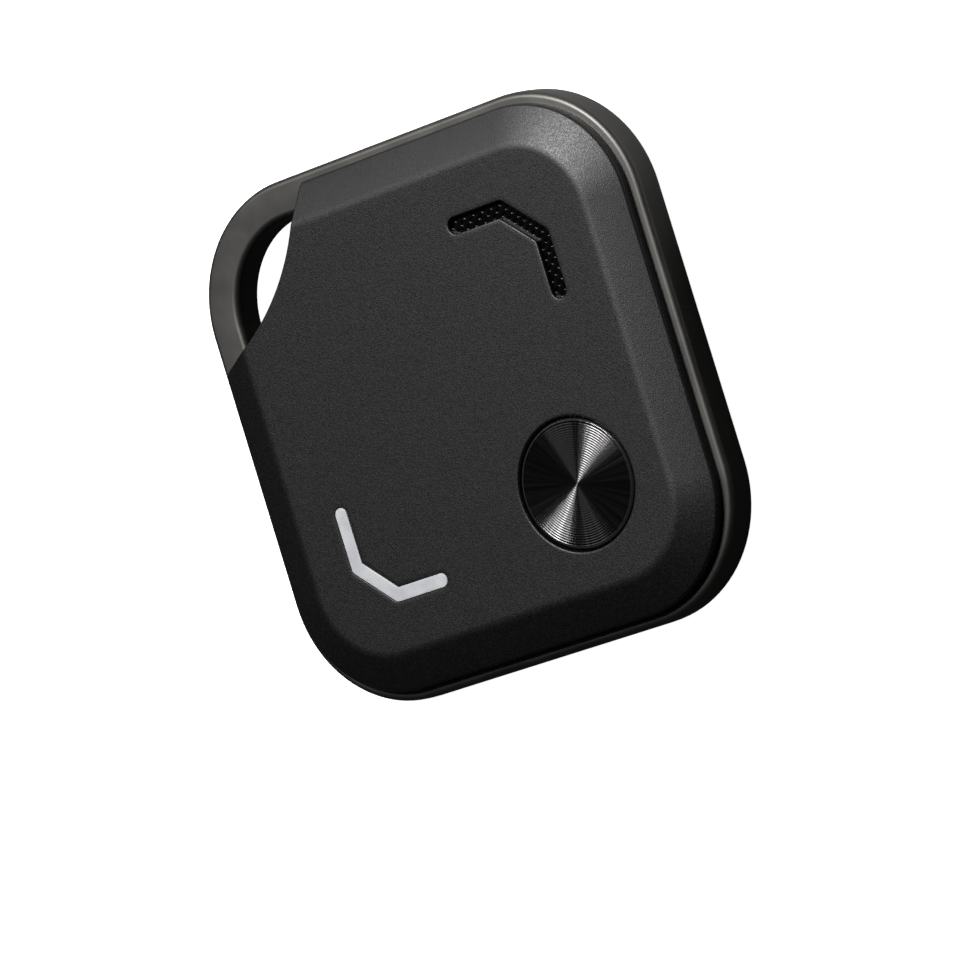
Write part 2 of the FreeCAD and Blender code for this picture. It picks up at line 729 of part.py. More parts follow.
def make_switch():
    """The dome switch on the board: base with its well, dome, and stamped cover."""
    base = box("switch_block", "switch_side", "switch_side", "board_top", "switch_base_top",
               BUTTON_X, BUTTON_Y)
    well = cylinder("switch_well", "switch_well_radius", "switch_well_floor", "switch_base_top",
                    BUTTON_X, BUTTON_Y)
    plate = box("switch_cover_plate", "switch_side", "switch_side", "switch_base_top",
                "switch_base_top + switch_cover_thickness", BUTTON_X, BUTTON_Y)
    window = cylinder("switch_cover_window", "switch_cover_hole_radius", "switch_base_top",
                      "switch_base_top + switch_cover_thickness", BUTTON_X, BUTTON_Y)
    dome = turned("switch_dome", [
        ("switch_dome_radius - switch_dome_sheet", "switch_well_floor"),
        ("switch_dome_radius", "switch_well_floor"),
        ("switch_dome_radius / 2", "switch_well_floor + switch_dome_rise"),
        (0, "switch_well_floor + switch_dome_rise"),
        (0, "switch_well_floor + switch_dome_rise - switch_dome_sheet"),
        ("switch_dome_radius / 2", "switch_well_floor + switch_dome_rise - switch_dome_sheet")],
        BUTTON_X, BUTTON_Y)
    return [cut("switch_base", base, well), dome, cut("switch_cover", plate, window)]


def make_light_guide():
    """The translucent bracket: flush face, flange under the cover, legs over the LEDs."""
    face = bracket("guide_face", "guide_width", "ceiling", "overall_thickness", -1)
    flange = bracket("guide_flange", "guide_flange_width", "guide_flange_bottom", "ceiling", -1)
    legs = [cylinder("guide_leg%d" % index, "guide_leg_radius", "led_top + led_gap",
                     "guide_flange_bottom", x, y)
            for index, (x, y) in enumerate(led_places())]
    return fuse("light_guide", face, flange, *legs)


def led_places():
    """The LEDs sit under the two bends of the light guide."""
    near = "-(bracket_offset - bracket_corner_cut)"
    return [("-bracket_offset", near), (near, "-bracket_offset")]


def make_speaker_mesh():
    """The mesh plate in its seat, and the adhesive frame that holds it there."""
    mesh_width = "slot_width + 2 * mesh_margin - 2 * guide_clearance"
    mesh = bracket("speaker_mesh", mesh_width, "mesh_bottom", "mesh_top", 1)
    gasket = cut("mesh_gasket",
                 bracket("gasket_outside", mesh_width, "ceiling", "mesh_bottom", 1),
                 bracket("gasket_inside", "slot_width", "ceiling", "mesh_bottom", 1))
    return [mesh, gasket]


def make_sounder():
    """The piezo sounder under the slot: foam ring, brass disc, ceramic and two pins."""
    x = "sounder_across"
    y = "sounder_up"
    foam = ring("sounder_ring", "sounder_radius - sounder_ring_wall", "sounder_radius",
                "sounder_top", "ceiling", x, y)
    disc = cylinder("sounder_disc", "sounder_radius", "sounder_bottom", "sounder_top", x, y)
    ceramic = cylinder("sounder_ceramic", "ceramic_radius", "ceramic_bottom", "sounder_bottom",
                       x, y)
    pins = []
    for index, (reach, top) in enumerate(((0, "ceramic_bottom"),
                                          ("outer_pin_reach", "sounder_bottom"))):
        place = "%s + %s" % (x, reach)
        pins.append(fuse(
            "sounder_pin%d" % index,
            cylinder("pin_base%d" % index, "pin_base_radius", "board_top",
                     "board_top + pin_base_height", place, y),
            cylinder("pin_stem%d" % index, "pin_radius", "board_top", top, place, y)))
    return [foam, disc, ceramic, group("sounder_pins", *pins)]


def make_negative_contact():
    """The leaf over the cell's cap: a long strip, a step down and a foot on the board."""
    rise_x = CELL_X + " + chassis_outer_radius + 2 * contact_sheet"
    strip_low = "cell_top + contact_touch_gap"
    strip_high = "cell_top + contact_touch_gap + contact_sheet"
    strip_length = "chassis_outer_radius + 3 * contact_sheet"
    strip = box("negative_strip", strip_length, "contact_width", strip_low, strip_high,
                CELL_X + " + (%s) / 2" % strip_length, CELL_Y)
    step = box("negative_step", "contact_sheet", "contact_width", "board_top", strip_high,
               rise_x + " + contact_sheet / 2", CELL_Y)
    foot = box("negative_foot", "contact_foot", "contact_width", "board_top",
               "board_top + contact_sheet", rise_x + " + contact_foot / 2", CELL_Y)
    return fuse("negative_contact", strip, step, foot)


def make_positive_contact():
    """The spring beside the cell: it reaches down its side from a foot on the board."""
    touch = "cell_radius + contact_touch_gap"
    foot_length = "chassis_outer_radius - cell_radius + contact_foot"
    blade = box("positive_blade", "contact_width", "contact_sheet",
                "board_top - positive_contact_drop", "board_top + contact_sheet", CELL_X,
                CELL_Y + " - (%s) - contact_sheet / 2" % touch)
    foot = box("positive_foot", "contact_width", foot_length, "board_top",
               "board_top + contact_sheet", CELL_X,
               CELL_Y + " - (%s) - (%s) / 2" % (touch, foot_length))
    return fuse("positive_contact", blade, foot)


def make_small_electronics():
    """Chips and passives on both faces of the board."""
    def on_top(name, kind, x, y, turn=0):
        return box(name, kind + "_length", kind + "_width", "board_top",
                   "board_top + %s_height" % kind, x, y, turn)

    def underneath(name, kind, x, y, turn=0):
        return box(name, kind + "_length", kind + "_width",
                   "board_bottom_height - %s_height" % kind, "board_bottom_height", x, y, turn)

    chip_x = "radio_chip_across"
    chip_y = "-radio_chip_down"
    beside = "radio_chip_side / 2 + passive_pitch"
    chip = box("radio_chip", "radio_chip_side", "radio_chip_side",
               "board_bottom_height - radio_chip_height", "board_bottom_height", chip_x, chip_y)
    crystal = underneath("radio_crystal", "crystal", "%s - (%s) - crystal_width / 2" % (chip_x, beside),
                         chip_y + " - crystal_length", 90)
    antenna = on_top("antenna", "antenna", "boss_bottom_x - 2 * antenna_length", "boss_bottom_y")
    coil = on_top("sounder_coil", "coil", "boss_bottom_x",
                  "cell_shift + board_hole_radius + coil_width / 2 - coil_overhang")
    leds = [on_top("led%d" % index, "led", x, y, -45)
            for index, (x, y) in enumerate(led_places())]
    capacitors = [underneath("capacitor%d" % index, "passive",
                             "%s + (%d) * passive_pitch" % (chip_x, index - 1),
                             "%s + %s" % (chip_y, beside), 90)
                  for index in range(5)]
    resistors = [on_top("resistor%d" % index, "passive",
                        BUTTON_X + " + flange_radius - passive_length",
                        "boss_right_y - (%d) * passive_pitch" % (index + 2))
                 for index in range(3)]
    return [chip, crystal, antenna, coil, group("indicator_leds", *leds),
            group("capacitors", *capacitors), group("resistors", *resistors)]


def make_parts():
    """Every sub-part of the tag, outside first."""
    seal_inner = "flange_radius - button_seal_width"
    return [
        make_frame(),
        make_front_cover(),
        make_back_cover(),
        lip("cover_seal", "back_lip_top", "front_lip_bottom"),
        make_battery_door(),
        make_door_seal(),
        cylinder("battery_pad", "pad_radius", "door_thickness", "cell_bottom", CELL_X, CELL_Y),
        make_coin_cell(),
        make_chassis(),
        make_circuit_board(),
        make_chassis_screws(),
        make_button_disc(),
        make_button_plunger(),
        ring("button_seal", seal_inner, "flange_radius", "flange_top",
             "flange_top + button_seal_thickness", BUTTON_X, BUTTON_Y),
        *make_switch(),
        make_light_guide(),
        *make_speaker_mesh(),
        *make_sounder(),
        make_negative_contact(),
        make_positive_contact(),
        *make_small_electronics(),
    ]


def check_everything(parts):
    """Stops with a plain message if an object failed or a shape is not sound."""
    for item in doc.Objects:
        if "Invalid" in item.State or "Error" in item.State:
            raise RuntimeError("%s is %s" % (item.Label, item.State))
    for part in parts:
        if part.Shape.isNull() or not part.Shape.isValid() or not part.Shape.Solids:
            raise RuntimeError("%s has no sound shape" % part.Label)


sub_parts = make_parts()
doc.recompute()
check_everything(sub_parts)
os.makedirs("parts", exist_ok=True)
for sub_part in sub_parts:
    sub_part.Shape.exportStep("parts/%s.step" % sub_part.Label)
    extent = sub_part.Shape.BoundBox
    print("%-18s %2d solid(s) %9.2f mm3  z %6.2f to %6.2f" % (
        sub_part.Label, len(sub_part.Shape.Solids), sub_part.Shape.Volume, extent.ZMin, extent.ZMax))
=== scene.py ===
import math

import bpy
import numpy as np
from mathutils import Matrix, Vector
from mathutils.geometry import tessellate_polygon


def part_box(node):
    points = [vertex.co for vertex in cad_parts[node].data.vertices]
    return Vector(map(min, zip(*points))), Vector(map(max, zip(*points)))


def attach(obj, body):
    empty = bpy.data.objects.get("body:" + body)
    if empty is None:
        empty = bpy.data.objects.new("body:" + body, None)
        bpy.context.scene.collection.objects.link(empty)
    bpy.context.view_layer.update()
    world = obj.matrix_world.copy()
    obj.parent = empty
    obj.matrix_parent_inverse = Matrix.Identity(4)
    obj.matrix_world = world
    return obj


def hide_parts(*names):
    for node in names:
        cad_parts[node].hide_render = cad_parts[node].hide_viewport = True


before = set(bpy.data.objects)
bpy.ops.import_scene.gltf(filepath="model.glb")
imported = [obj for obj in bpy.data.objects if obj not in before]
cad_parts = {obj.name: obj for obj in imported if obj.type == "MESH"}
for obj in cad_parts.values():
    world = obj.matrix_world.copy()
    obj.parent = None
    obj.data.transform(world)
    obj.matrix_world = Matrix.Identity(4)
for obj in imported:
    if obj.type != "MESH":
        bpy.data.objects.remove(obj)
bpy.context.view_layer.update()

# A square bluetooth tracker tag with a key loop at its (-X, +Y) corner, lying on its back.
# Metres throughout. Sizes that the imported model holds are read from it. The others are
# named below, part by part.

MM = 0.001

# ------------------------------------------------------------- sizes from the frame
FRAME_LOW, FRAME_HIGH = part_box("frame")
_, FRONT_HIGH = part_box("front_cover")
BACK_LOW, BACK_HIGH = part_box("back_cover")
SEAL_LOW, SEAL_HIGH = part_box("cover_seal")
DISC_LOW, DISC_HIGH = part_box("button_disc")
DOOR_LOW, DOOR_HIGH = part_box("battery_door")
PAD_LOW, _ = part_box("battery_pad")
MESH_LOW, MESH_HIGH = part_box("speaker_mesh")
GUIDE_LOW, GUIDE_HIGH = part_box("light_guide")
_, BOARD_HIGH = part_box("circuit_board")
_, RING_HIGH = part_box("sounder_ring")

FRAME_HALF = FRAME_HIGH[0]
FRONT_HALF = FRONT_HIGH[0]
BACK_HALF = BACK_HIGH[0]
LIP_HALF = SEAL_HIGH[0]
TOP = FRONT_HIGH[2]
CEILING = RING_HIGH[2]
FLOOR = BACK_LOW[2]
BUTTON_CENTRE = ((DISC_LOW[0] + DISC_HIGH[0]) / 2, (DISC_LOW[1] + DISC_HIGH[1]) / 2)
BUTTON_RADIUS = (DISC_HIGH[0] - DISC_LOW[0]) / 2
DOOR_CENTRE = ((DOOR_LOW[0] + DOOR_HIGH[0]) / 2, (DOOR_LOW[1] + DOOR_HIGH[1]) / 2)
DOOR_RADIUS = (DOOR_HIGH[0] - DOOR_LOW[0]) / 2

# --------------------------------------------------------------- sizes named here
CORNER_CENTRE = FRAME_HALF - 10 * MM   # every rounded square turns about this point
FRAME_WIDTH = 3 * MM
FRAME_OUTER_ROUND = 0.45 * MM
FRAME_INNER_ROUND = 0.5 * MM
FRAME_CROWN = 0.07 * MM                # how far the outer side bulges at its middle
LIP_WALL = 0.8 * MM
CAVITY_HALF = LIP_HALF - LIP_WALL
LOOP_CENTRE = 25.83 * MM               # the circle's middle is this far out in -X and in +Y
LOOP_RADIUS = 18.75 * MM
LOOP_WALL = 0.9 * MM
LOOP_EDGE_ROUND = 0.12 * MM
LOOP_MEETING_ROUND = 0.25 * MM         # where a cover's side meets the loop's wall
FRONT_BEVEL = (3 * MM, 1.2 * MM)       # width and drop
BACK_BEVEL = (3 * MM, 1.4 * MM)
COVER_FLAT = 1 * MM                    # the flat just inside a bevel
COVER_LIP_ROUND = 0.1 * MM
COVER_SIDE_ROUND = 0.3 * MM
FRONT_FACE_ROUND = 2 * MM
BACK_FACE_ROUND = 1.2 * MM
BACK_WALL = 1.0 * MM
OPENING_ROUND = 0.14 * MM
BUTTON_HOLE_RADIUS = BUTTON_RADIUS + 0.19 * MM

# The sound slot and the light guide are one shape of bracket, on opposite sides.
BRACKET_OFFSET = 12.65 * MM
BRACKET_CORNER = 2.95 * MM
BRACKET_LEG = 4.3 * MM
BRACKET_NEAR = BRACKET_OFFSET - BRACKET_CORNER
BRACKET_END = BRACKET_NEAR - BRACKET_LEG
SLOT_HALF = 0.63 * MM
GUIDE_HALF = 0.55 * MM
GUIDE_GAP = 0.03 * MM
GUIDE_HOLE_ROUND = 0.06 * MM
GUIDE_FACE_ROUND = 0.07 * MM
GUIDE_FLANGE_HALF = GUIDE_HALF + 0.55 * MM
GUIDE_FLANGE = 0.4 * MM
GUIDE_LEG_RADIUS = 0.8 * MM
GUIDE_FLAT = 0.3 * MM                  # the flat just inside the soft edge

MESH_SEAT_HALF = SLOT_HALF + 0.6 * MM
MESH_GAP = 0.03 * MM
MESH_CLOTH = 0.02 * MM
MESH_PITCH = 0.85 * MM
MESH_HOLE_RADIUS = 0.17 * MM
MESH_HOLE_ROUND = 0.05 * MM
MESH_HOLE_REACH = SLOT_HALF + 0.1 * MM

BOSS_RADIUS = 1.1 * MM
PILOT_RADIUS = 0.45 * MM
PILOT_DEPTH = 1.45 * MM
BOSSES = ((14.6 * MM, -1.2 * MM), (0.8 * MM, -14.6 * MM), (-15.3 * MM, -8.0 * MM),
          (14.3 * MM, 14.3 * MM))

DOOR_GAP = 0.15 * MM
DOOR_TURN = 28
DOOR_SEAT = 0.55 * MM
DOOR_SEAT_ROUND = 0.12 * MM
DOOR_FLANGE = 0.5 * MM
DOOR_RIM_INNER = 10.35 * MM
DOOR_SMALL_ROUND = 0.04 * MM
DOOR_FLAT = 1 * MM                     # the flat just inside an edge
NECK_RADIUS = 11.1 * MM
TAB_RADIUS = NECK_RADIUS + 1.2 * MM
TAB_COUNT = 3
TAB_ANGLE = 24
FIRST_TAB = 75
TAB_SLACK = 1.5
STOP_ANGLE = 5
STOP_SLACK = 0.5
COIN_SLOT_HALF = 0.8 * MM
COIN_SLOT_LENGTH = 12 * MM
COIN_SLOT_DEPTH = 0.5 * MM
COIN_SLOT_FOOT_ROUND = 0.08 * MM

BUTTON_CHAMFER = 0.12 * MM
BUTTON_LAND = 0.1 * MM                 # plain ring between the chamfer and the grooves
BUTTON_UNDERSIDE = 0.3 * MM
BUTTON_FOOT_ROUND = 0.05 * MM
BUTTON_EDGE_ROUND = 0.03 * MM
BUTTON_STEP = 0.02 * MM                # keeps the last ring off the middle
GROOVE_COUNT = 25
GROOVE_DEPTH = 0.034 * MM
DISH = 0.05 * MM

GUARD = 0.1 * MM                       # a flat strip that keeps the shading of flats true
ARC_STEPS = 24
LOOP_STEPS = 72
DOOR_STEPS = 192

# ------------------------------------------------------------------- finishes named here
BLACK = (0.001, 0.001, 0.001)
GUNMETAL = (0.095, 0.0928, 0.0875)
DISC_COLOUR = (0.04, 0.04, 0.0405)
DISC_RIM_COLOUR = (0.2, 0.2, 0.2)
DISC_RIM_FADE = (0.22 * MM, 0.17 * MM)  # in from the edge, where the bright rim fades in
WINDOW_COLOUR = (0.44, 0.445, 0.462)
PLASTIC_GRAIN = 0.08 * MM

# ------------------------------------------------------------- the view and the light
VIEW_AZIMUTH = -4.38
VIEW_ELEVATION = 55.86
VIEW_ROLL = -103.44
VIEW_DISTANCE = 471.52 * MM
VIEW_RIGHT = 2.438 * MM
VIEW_UP = -5.799 * MM
LENS = 231.42
LIGHTS = (
    # name, direction from the tag, distance in metres, size in metres, power in watts
    ("key", (-0.057, 0.496, 0.865), 0.6, (0.19, 0.19), 5.2),
    ("top_fill", (-0.56, 0.6, 0.57), 0.7, (0.24, 0.24), 0.37),
    ("horizon_fill", (0.3, 0.9, 0.3), 0.7, (0.4, 0.25), 0.12),
    ("left_fill", (-0.75, 0.15, 0.65), 0.7, (0.26, 0.26), 0.022),
)
SURROUND_GREY = 0.9
SURROUND_STRENGTH = 0.008
FLOOR_REACH = 6.0
FLOOR_GAP = 0.02 * MM
CARD_REACH = 300 * MM
CARD_GAP = 0.01 * MM
CARD_UPHILL = (0.45, 0.89, 0.0)        # the direction in which the card brightens
CARD_NEAR, CARD_FAR = 12 * MM, 45 * MM
CARD_DIM, CARD_BRIGHT = (0.015,) * 3, (1.0,) * 3


# ================================================================= working surfaces
class Shell:
    """A mesh built from grids and flat fills, whose shared edges are merged at the end."""

    def __init__(self):
        self.points = []
        self.faces = []
        self.count = 0

    def add(self, points, faces):
        self.points.append(np.asarray(points, float))
        self.faces.extend((np.asarray(faces) + self.count).tolist())
        self.count += len(points)

    def band(self, grid):
        """Joins each row of a grid of points to the next with quads, round each row."""
        rows, columns = grid.shape[:2]
        index = np.arange(rows * columns).reshape(rows, columns)
        after = np.roll(index, -1, axis=1)
        quads = np.stack([index[:-1], after[:-1], after[1:], index[1:]], axis=-1)
        self.add(grid.reshape(-1, 3), quads.reshape(-1, 4))

    def cap(self, row, up):
        """Closes one row with a fan about its middle."""
        middle = row.mean(axis=0)
        index = np.arange(len(row))
        fan = np.stack([index, np.roll(index, -1), np.full(len(row), len(row))], axis=-1)
        self.add(np.vstack([row, middle]), fan if up else fan[:, ::-1])

    def flat(self, loops, up):
        """Fills the flat space inside the first loop and outside the others."""
        points = np.vstack(loops)
        fill = np.array(tessellate_polygon([[Vector(point) for point in loop] for loop in loops]))
        side = np.cross(points[fill[:, 1]] - points[fill[:, 0]], points[fill[:, 2]] - points[fill[:, 0]])
        wrong = (side[:, 2] > 0) != up
        fill[wrong] = fill[wrong][:, ::-1]
        self.add(points, fill)

    def build(self, name, sharp_angle=32):
        """Makes the object: points in one cell of a half-micrometre grid become one."""
        points = np.vstack(self.points)
        keys = np.round(points / (0.5 * MM * MM)).astype(np.int64)
        _, first, joined = np.unique(keys, axis=0, return_index=True, return_inverse=True)
        joined = joined.reshape(-1)
        mesh = bpy.data.meshes.new(name)
        clean = []
        for face in self.faces:
            corners = list(dict.fromkeys(joined[corner] for corner in face))
            if len(corners) > 2:
                clean.append(corners)
        mesh.from_pydata(points[first].tolist(), [], clean)
        mesh.validate()
        mesh.shade_smooth()
        mesh.set_sharp_from_angle(angle=math.radians(sharp_angle))
        piece = bpy.data.objects.new(name, mesh)
        bpy.context.scene.collection.objects.link(piece)
        return piece


def rounded(corners, radii, steps=6):
    """A 2-D path whose corners are turned into arcs of the given radii."""
    corners = np.asarray(corners, float)
    path = [corners[:1]]
    for before, corner, after, radius in zip(corners[:-2], corners[1:-1], corners[2:], radii):
        if radius == 0:
            path.append(corner[None])
            continue
        back = (before - corner) / np.linalg.norm(before - corner)
        ahead = (after - corner) / np.linalg.norm(after - corner)
        half_angle = math.acos(np.clip(back @ ahead, -1, 1)) / 2
        middle = corner + (back + ahead) / np.linalg.norm(back + ahead) * radius / math.sin(half_angle)
        start = corner + back * radius / math.tan(half_angle) - middle
        end = corner + ahead * radius / math.tan(half_angle) - middle
        sweep = math.atan2(start[0] * end[1] - start[1] * end[0], start @ end)
        angles = np.linspace(0, sweep, steps + 1)[:, None]
        across = np.array([-start[1], start[0]])
        path.append(middle + np.cos(angles) * start + np.sin(angles) * across)
    path.append(corners[-1:])
    return np.vstack(path)


def arc(centre_x, centre_y, radius, first, last, steps):
    """Rows of arcs: each row has its own centre and radius, and angles in degrees."""
    share = np.linspace(0, 1, steps + 1)
    angle = np.radians(first + (last - first) * share)
    x = centre_x + radius * np.cos(angle)
    y = centre_y + radius * np.sin(angle)
    return np.stack([x, y], axis=-1)


def column(values):
    """A value for each row, shaped to spread over that row's points."""
    return np.asarray(values, float)[:, None]


def square_rows(half):
    """Rounded squares, one row for each half-size, anticlockwise from the top left corner."""
    half = column(half)
    radius = half - CORNER_CENTRE
    centre = CORNER_CENTRE + 0 * half
    turns = ((-1, 1, 90), (-1, -1, 180), (1, -1, 270), (1, 1, 0))
    corners = [arc(x * centre, y * centre, radius, first, first + 90, ARC_STEPS)
               for x, y, first in turns]
    return np.concatenate(corners, axis=1)


def cover_rows(half, loop_radius, edge_round):
    """Rounded squares less the loop's circle, one row for each half-size.

    Each row runs anticlockwise: down the left side, round three corners, back along the top,
    and along the circle. Where a side meets the circle, an arc of radius edge_round joins
    them: its centre is edge_round inside the side and loop_radius + edge_round from the
    circle's centre.
    """
    half, loop_radius, edge_round = (column(values) for values in (half, loop_radius, edge_round))
    radius = half - CORNER_CENTRE
    centre = CORNER_CENTRE + 0 * half
    turns = ((-1, -1, 180), (1, -1, 270), (1, 1, 0))
    corners = [arc(x * centre, y * centre, radius, first, first + 90, ARC_STEPS)
               for x, y, first in turns]
    rise = LOOP_CENTRE - half + edge_round
    run = np.sqrt((loop_radius + edge_round) ** 2 - rise ** 2)
    joint_x = run - LOOP_CENTRE
    meet = 180 - np.degrees(np.arctan2(rise, run))
    joint = arc(joint_x, half - edge_round, edge_round, 90, meet, 5)
    mirrored = -joint[:, ::-1, ::-1]
    first = meet - 180
    circle = arc(-LOOP_CENTRE, LOOP_CENTRE, loop_radius, first, -90 - first, LOOP_STEPS)
    return np.concatenate([mirrored, *corners, joint, circle[:, 1:-1]], axis=1)


def raised(rows, heights):
    """Gives each row of plan points its height."""
    z = np.broadcast_to(column(heights)[..., None], rows.shape[:2] + (1,))
    return np.concatenate([rows, z], axis=-1)


def round_rows(profile, centre, steps):
    """A profile of (radius, height) turned about an upright axis."""
    profile = np.asarray(profile, float)
    angle = np.linspace(0, 2 * math.pi, steps, endpoint=False)
    x = centre[0] + column(profile[:, 0]) * np.cos(angle)
    y = centre[1] + column(profile[:, 0]) * np.sin(angle)
    z = np.broadcast_to(column(profile[:, 1]), x.shape)
    return np.stack([x, y, z], axis=-1)


def bracket_rows(profile, side):
    """The bracket's outline at each (half-width, height), anticlockwise.

    The middle line is three straight runs. The outline keeps half a width from it: it is
    mitred on the inside of the two bends, and an arc on their outside and round the ends.
    """
    profile = np.asarray(profile, float)
    width = column(profile[:, 0])
    far, near, end = BRACKET_OFFSET, BRACKET_NEAR, BRACKET_END
    slack = math.tan(math.radians(22.5))
    inner = [np.stack([end + 0 * width, far - width], -1),
             np.stack([near - slack * width, far - width], -1),
             np.stack([far - width, near - slack * width], -1),
             np.stack([far - width, end + 0 * width], -1)]
    foot = arc(far, end, width, 180, 360, 12)[:, 1:]
    bend_right = arc(far, near, width, 0, 45, 4)
    bend_top = arc(near, far, width, 45, 90, 4)
    head = arc(end, far, width, 90, 270, 12)[:, :-1]
    loop = np.concatenate(inner + [foot, bend_right, bend_top, head], axis=1) * side
    return raised(loop, profile[:, 1])


def stadium_rows(profile, length, centre):
    """A slot with round ends at each (half-width, height), anticlockwise."""
    profile = np.asarray(profile, float)
    width = column(profile[:, 0])
    reach = length / 2 - profile[0, 0]
    right = arc(centre[0] + reach, centre[1], width, -90, 90, 16)
    left = arc(centre[0] - reach, centre[1], width, 90, 270, 16)
    return raised(np.concatenate([right, left], axis=1), profile[:, 1])


def add_sector(shell, radii, heights, first, sweep, centre):
    """A closed block: part of a flat ring, between two radii and two heights."""
    share = np.linspace(0, 1, 17)
    angle = np.radians(first + sweep * share)
    unit = np.stack([np.cos(angle), np.sin(angle)], axis=-1)
    section = [(radii[0], heights[0]), (radii[1], heights[0]), (radii[1], heights[1]),
               (radii[0], heights[1])]
    grid = np.stack([np.concatenate([np.asarray(centre) + unit * radius,
                                     np.full((len(unit), 1), height)], axis=1)
                     for radius, height in section], axis=1)
    shell.band(grid[::-1])
    shell.add(grid[0], [[0, 1, 2, 3]])
    shell.add(grid[-1], [[3, 2, 1, 0]])


# ================================================================== the tag's pieces
def loop_edge(heights, top, edge=LOOP_EDGE_ROUND):
    """How far the loop's wall leans back near the face, to round its edge.

    At a depth d below the face, and down to the round's radius r, it is r less the square
    root of (r squared less (r - d) squared). Below that it is nothing.
    """
    depth = np.clip(np.abs(np.asarray(heights) - top), 0, edge)
    return edge - np.sqrt(edge ** 2 - (edge - depth) ** 2)


def make_frame():
    """The metal ring: a soft-edged section swept round a rounded square.

    The outer half is crowned: each of its points moves in by FRAME_CROWN times the square of
    its height from the middle, where half the frame's height counts as one.
    """
    low, high = FRAME_LOW[2], FRAME_HIGH[2]
    inner, outer = FRAME_HALF - FRAME_WIDTH, FRAME_HALF
    middle = (inner + outer) / 2
    section = rounded([(middle, low), (outer, low), (outer, high), (inner, high), (inner, low),
                       (middle, low)],
                      [FRAME_OUTER_ROUND, FRAME_OUTER_ROUND, FRAME_INNER_ROUND,
                       FRAME_INNER_ROUND], steps=10)
    first = np.argmax(section[:, 0] >= outer - 1e-9)
    heights = np.linspace(section[first, 1], section[first + 1, 1], 14)[1:-1]
    side = np.column_stack([np.full(len(heights), outer), heights])
    section = np.insert(section, first + 1, side, axis=0)
    share = np.clip((section[:, 1] - low) / (high - low) * 2 - 1, -1, 1)
    section[:, 0] -= np.where(section[:, 0] > middle, FRAME_CROWN * share ** 2, 0)
    shell = Shell()
    shell.band(raised(square_rows(section[:, 0]), section[:, 1]))
    return shell.build("frame_ring", sharp_angle=60)


def make_front_cover():
    """The front shell: lip, rim, bevel and plateau, and the walls of its openings.

    One profile of (half-size, height) runs from the cavity out over the lip, up the side and
    in over the bevel. Each of its points gives one rounded square, less the loop's circle.
    """
    lip_bottom = SEAL_HIGH[2]
    rim = FRAME_HIGH[2]
    bevel_width, bevel_drop = FRONT_BEVEL
    plateau = FRONT_HALF - bevel_width
    inside = [(CAVITY_HALF, CEILING), (CAVITY_HALF, lip_bottom)]
    outside = rounded([(LIP_HALF, lip_bottom), (LIP_HALF, rim), (FRONT_HALF, rim),
                       (FRONT_HALF, TOP - bevel_drop), (plateau, TOP),
                       (plateau - COVER_FLAT, TOP)],
                      [0, COVER_LIP_ROUND, COVER_SIDE_ROUND, FRONT_FACE_ROUND], steps=8)
    profile = np.vstack([inside, outside, [(plateau - COVER_FLAT - GUARD, TOP)]])
    cut = np.full(len(profile), LOOP_RADIUS)
    cut[:2] += LOOP_WALL
    cut[2:] += loop_edge(profile[2:, 1], TOP)
    cut[-1] += GUARD
    corner = np.full(len(profile), LOOP_MEETING_ROUND)
    rows = raised(cover_rows(profile[:, 0], cut, corner), profile[:, 1])
    shell = Shell()
    shell.band(rows)

    edge = OPENING_ROUND
    hole = rounded([(BUTTON_HOLE_RADIUS + 2 * edge, TOP), (BUTTON_HOLE_RADIUS, TOP),
                    (BUTTON_HOLE_RADIUS, CEILING)], [edge], steps=5)
    button_hole = round_rows(hole, BUTTON_CENTRE, steps=128)
    guide_path = rounded([(GUIDE_HALF + 3 * edge, TOP), (GUIDE_HALF + GUIDE_GAP, TOP),
                          (GUIDE_HALF + GUIDE_GAP, CEILING)], [GUIDE_HOLE_ROUND], steps=4)
    guide_hole = bracket_rows(guide_path, -1)
    slot_path = rounded([(SLOT_HALF + 3 * edge, TOP), (SLOT_HALF, TOP), (SLOT_HALF, MESH_HIGH[2]),
                         (MESH_SEAT_HALF, MESH_HIGH[2]), (MESH_SEAT_HALF, CEILING)],
                        [edge, 0, 0], steps=5)
    slot = bracket_rows(slot_path, 1)
    for rows_down in (button_hole, guide_hole, slot):
        shell.band(rows_down)
    shell.flat([rows[-1], button_hole[0], guide_hole[0], slot[0]], up=True)

    bosses = []
    for spot in BOSSES:
        pilot_top = BOARD_HIGH[2] + PILOT_DEPTH
        boss = round_rows([(BOSS_RADIUS, CEILING), (BOSS_RADIUS, BOARD_HIGH[2]),
                           (PILOT_RADIUS, BOARD_HIGH[2]), (PILOT_RADIUS, pilot_top)], spot, steps=32)
        shell.band(boss[:, ::-1])
        shell.cap(boss[-1], up=False)
        bosses.append(boss[0])
    shell.flat([rows[0], button_hole[-1], guide_hole[-1], slot[-1], *bosses], up=False)
    return shell.build("front_shell")


